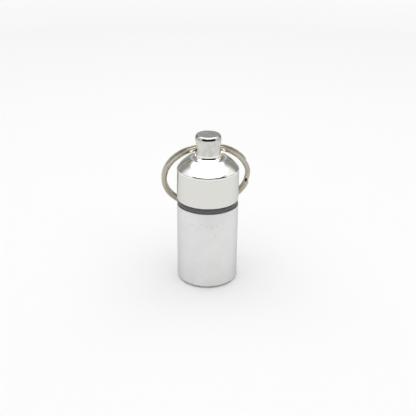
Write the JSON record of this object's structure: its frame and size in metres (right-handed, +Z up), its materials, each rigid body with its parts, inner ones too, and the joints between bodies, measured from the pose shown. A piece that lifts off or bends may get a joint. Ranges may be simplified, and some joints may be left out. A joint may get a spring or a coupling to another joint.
{
  "type": "pill fob keychain",
  "caption": "Round aluminium pill capsule with a domed screw cap, a rubber sealing ring and a split key ring through its cross-drilled knob.",
  "frame": {"origin": "centre of the canister's flat base", "axes": "+Z up along the capsule; X along the hole across the knob; the split ring leans back towards +Y"},
  "size_m": [0.025, 0.0193, 0.0425],
  "materials": {
    "canister": "satin, clear anodised",
    "sealing_ring": "smooth, slightly shiny",
    "screw_cap": "polished",
    "split_ring": "bright nickel plate"
  },
  "bodies": {
    "canister": {"canister": "canister"},
    "sealing_ring": {"sealing_ring": "sealing_ring"},
    "screw_cap": {"screw_cap": "screw_cap"},
    "split_ring": {"split_ring": "split_ring"}
  },
  "joints": [
    {"name": "cap_turn", "type": "hinge", "parent": "canister", "child": "sealing_ring", "pos_m": [0, 0, 0.02325], "axis": [0, 0, 1], "range_deg": [0, 1620]},
    {"name": "cap_lift", "type": "slide", "parent": "sealing_ring", "child": "screw_cap", "axis": [0, 0, 1], "range_m": [0, 0.0045]},
    {"name": "ring_swing", "type": "hinge", "parent": "screw_cap", "child": "split_ring", "pos_m": [0, 0, 0.03912], "axis": [1, 0, 0], "range_deg": [0, 310.6]}
  ],
  "couplings": [
    {"joint": "cap_lift", "follows": "cap_turn", "m_per_rad": 0.00015915}
  ]
}
